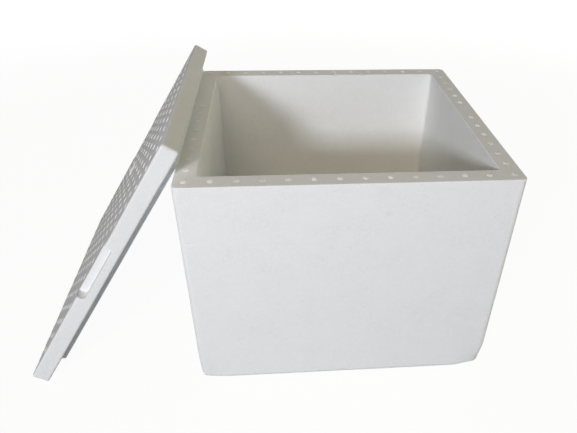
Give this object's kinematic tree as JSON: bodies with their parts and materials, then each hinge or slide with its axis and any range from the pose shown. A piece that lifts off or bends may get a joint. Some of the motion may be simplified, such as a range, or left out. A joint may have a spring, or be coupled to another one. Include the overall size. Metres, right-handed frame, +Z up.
{
  "type": "insulated foam box",
  "caption": "Moulded white foam box with an open top, and its plug lid taken off and leaned against its left side.",
  "frame": {"origin": "centre of the box's flat base, on the surface that it stands on", "axes": "+Z up through the open mouth, -Y the front face that the picture shows, -X the side that the lid leans on"},
  "size_m": [0.6068, 0.393, 0.3415],
  "materials": {
    "foam_box": "white moulded bead foam, satin skin with fine bead outlines",
    "foam_lid": "white moulded bead foam with raised vent marks"
  },
  "bodies": {
    "root": {"box_body": "foam_box", "lid": "foam_lid"}
  },
  "joints": []
}
